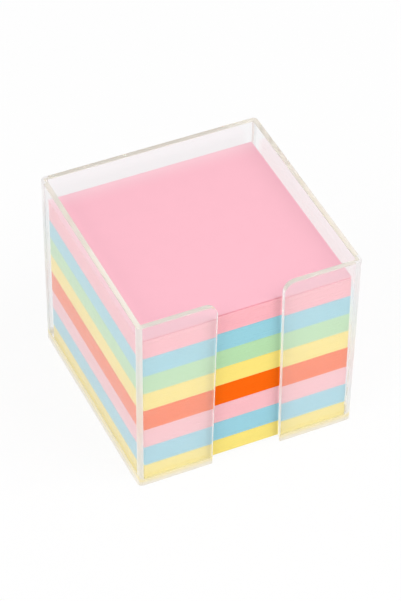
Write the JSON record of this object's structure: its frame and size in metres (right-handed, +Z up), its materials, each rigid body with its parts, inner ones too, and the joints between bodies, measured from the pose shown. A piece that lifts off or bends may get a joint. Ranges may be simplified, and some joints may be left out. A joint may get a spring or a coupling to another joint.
{
  "type": "memo cube",
  "caption": "Clear open-topped box with a finger slot down its front, holding a stack of loose square note paper in coloured batches.",
  "frame": {"origin": "middle of the underside of the box", "axes": "+Z up, out of the open top; -Y towards the front wall with the finger slot; +X to the right seen from the front"},
  "size_m": [0.095, 0.096, 0.086],
  "materials": {
    "clear_plastic": "clear, polished, faintly warm at the cut edges",
    "yellow_paper": "matt, uncoated",
    "blue_paper": "matt, uncoated",
    "pink_paper": "matt, uncoated",
    "orange_paper": "matt, uncoated",
    "green_paper": "matt, uncoated"
  },
  "bodies": {
    "holder": {"holder": "clear_plastic"},
    "yellow_batch_lower": {"yellow_batch_lower": "yellow_paper"},
    "blue_batch_lower": {"blue_batch_lower": "blue_paper"},
    "pink_batch_lower": {"pink_batch_lower": "pink_paper"},
    "orange_batch": {"orange_batch": "orange_paper"},
    "yellow_batch_upper": {"yellow_batch_upper": "yellow_paper"},
    "green_batch": {"green_batch": "green_paper"},
    "blue_batch_upper": {"blue_batch_upper": "blue_paper"},
    "pink_batch_upper": {"pink_batch_upper": "pink_paper"},
    "pink_sheet_1": {"pink_sheet_1": "pink_paper"},
    "pink_sheet_2": {"pink_sheet_2": "pink_paper"},
    "pink_sheet_3": {"pink_sheet_3": "pink_paper"},
    "pink_sheet_4": {"pink_sheet_4": "pink_paper"},
    "pink_sheet_5": {"pink_sheet_5": "pink_paper"},
    "pink_sheet_6": {"pink_sheet_6": "pink_paper"},
    "pink_sheet_7": {"pink_sheet_7": "pink_paper"},
    "pink_sheet_8": {"pink_sheet_8": "pink_paper"},
    "pink_sheet_9": {"pink_sheet_9": "pink_paper"},
    "pink_sheet_10": {"pink_sheet_10": "pink_paper"},
    "pink_sheet_11": {"pink_sheet_11": "pink_paper"},
    "pink_sheet_12": {"pink_sheet_12": "pink_paper"}
  },
  "joints": [
    {"name": "yellow_batch_lower_lift", "type": "slide", "parent": "holder", "child": "yellow_batch_lower", "axis": [0, 0, 1], "range_m": [0, 0.0882]},
    {"name": "blue_batch_lower_lift", "type": "slide", "parent": "yellow_batch_lower", "child": "blue_batch_lower", "axis": [0, 0, 1], "range_m": [0, 0.0801]},
    {"name": "pink_batch_lower_lift", "type": "slide", "parent": "blue_batch_lower", "child": "pink_batch_lower", "axis": [0, 0, 1], "range_m": [0, 0.0703]},
    {"name": "orange_batch_lift", "type": "slide", "parent": "pink_batch_lower", "child": "orange_batch", "axis": [0, 0, 1], "range_m": [0, 0.0606]},
    {"name": "yellow_batch_upper_lift", "type": "slide", "parent": "orange_batch", "child": "yellow_batch_upper", "axis": [0, 0, 1], "range_m": [0, 0.05]},
    {"name": "green_batch_lift", "type": "slide", "parent": "yellow_batch_upper", "child": "green_batch", "axis": [0, 0, 1], "range_m": [0, 0.0408]},
    {"name": "blue_batch_upper_lift", "type": "slide", "parent": "green_batch", "child": "blue_batch_upper", "axis": [0, 0, 1], "range_m": [0, 0.0315]},
    {"name": "pink_batch_upper_lift", "type": "slide", "parent": "blue_batch_upper", "child": "pink_batch_upper", "axis": [0, 0, 1], "range_m": [0, 0.0221]},
    {"name": "pink_sheet_1_lift", "type": "slide", "parent": "pink_batch_upper", "child": "pink_sheet_1", "axis": [0, 0, 1], "range_m": [0, 0.0139]},
    {"name": "pink_sheet_2_lift", "type": "slide", "parent": "pink_sheet_1", "child": "pink_sheet_2", "axis": [0, 0, 1], "range_m": [0, 0.0138]},
    {"name": "pink_sheet_3_lift", "type": "slide", "parent": "pink_sheet_2", "child": "pink_sheet_3", "axis": [0, 0, 1], "range_m": [0, 0.0136]},
    {"name": "pink_sheet_4_lift", "type": "slide", "parent": "pink_sheet_3", "child": "pink_sheet_4", "axis": [0, 0, 1], "range_m": [0, 0.0135]},
    {"name": "pink_sheet_5_lift", "type": "slide", "parent": "pink_sheet_4", "child": "pink_sheet_5", "axis": [0, 0, 1], "range_m": [0, 0.0133]},
    {"name": "pink_sheet_6_lift", "type": "slide", "parent": "pink_sheet_5", "child": "pink_sheet_6", "axis": [0, 0, 1], "range_m": [0, 0.0132]},
    {"name": "pink_sheet_7_lift", "type": "slide", "parent": "pink_sheet_6", "child": "pink_sheet_7", "axis": [0, 0, 1], "range_m": [0, 0.013]},
    {"name": "pink_sheet_8_lift", "type": "slide", "parent": "pink_sheet_7", "child": "pink_sheet_8", "axis": [0, 0, 1], "range_m": [0, 0.0129]},
    {"name": "pink_sheet_9_lift", "type": "slide", "parent": "pink_sheet_8", "child": "pink_sheet_9", "axis": [0, 0, 1], "range_m": [0, 0.0127]},
    {"name": "pink_sheet_10_lift", "type": "slide", "parent": "pink_sheet_9", "child": "pink_sheet_10", "axis": [0, 0, 1], "range_m": [0, 0.0126]},
    {"name": "pink_sheet_11_lift", "type": "slide", "parent": "pink_sheet_10", "child": "pink_sheet_11", "axis": [0, 0, 1], "range_m": [0, 0.0124]},
    {"name": "pink_sheet_12_lift", "type": "slide", "parent": "pink_sheet_11", "child": "pink_sheet_12", "axis": [0, 0, 1], "range_m": [0, 0.0123]}
  ]
}
